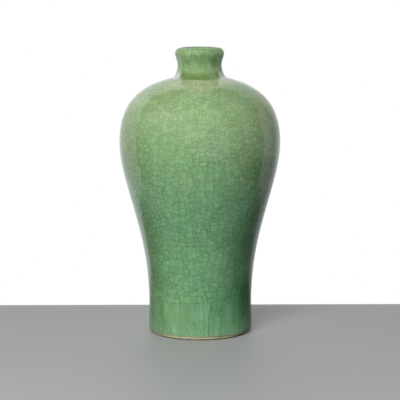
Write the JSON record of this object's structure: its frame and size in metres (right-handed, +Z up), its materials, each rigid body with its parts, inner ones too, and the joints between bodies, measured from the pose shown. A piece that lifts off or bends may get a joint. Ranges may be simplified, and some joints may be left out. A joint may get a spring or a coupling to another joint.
{
  "type": "meiping vase",
  "caption": "High-shouldered meiping vase with a small rounded mouth, slender waist and bare foot rim, thrown in luted sections under a crackled green glaze; holds a flowering branch.",
  "frame": {"origin": "centre of the foot's bare rim, on the surface that the vase stands on", "axes": "+Z up along the vase's axis towards the mouth, -Y towards the camera of the picture, +X to its right"},
  "size_m": [0.1408, 0.1408, 0.25],
  "materials": {
    "stoneware_clay": "bare buff stoneware, toasted brown in places",
    "luting_slip": "fired slip, matt",
    "crackle_glaze": "glossy green glaze with stained crackle",
    "lining_glaze": "glossy green glaze, poured",
    "recess_glaze": "glossy green glaze, brushed thin"
  },
  "bodies": {
    "root": {"lower_body": "stoneware_clay", "shoulder_body": "stoneware_clay", "neck": "stoneware_clay", "body_luting": "luting_slip", "neck_luting": "luting_slip", "outer_glaze": "crackle_glaze", "inner_glaze": "lining_glaze", "base_glaze": "recess_glaze"}
  },
  "joints": []
}
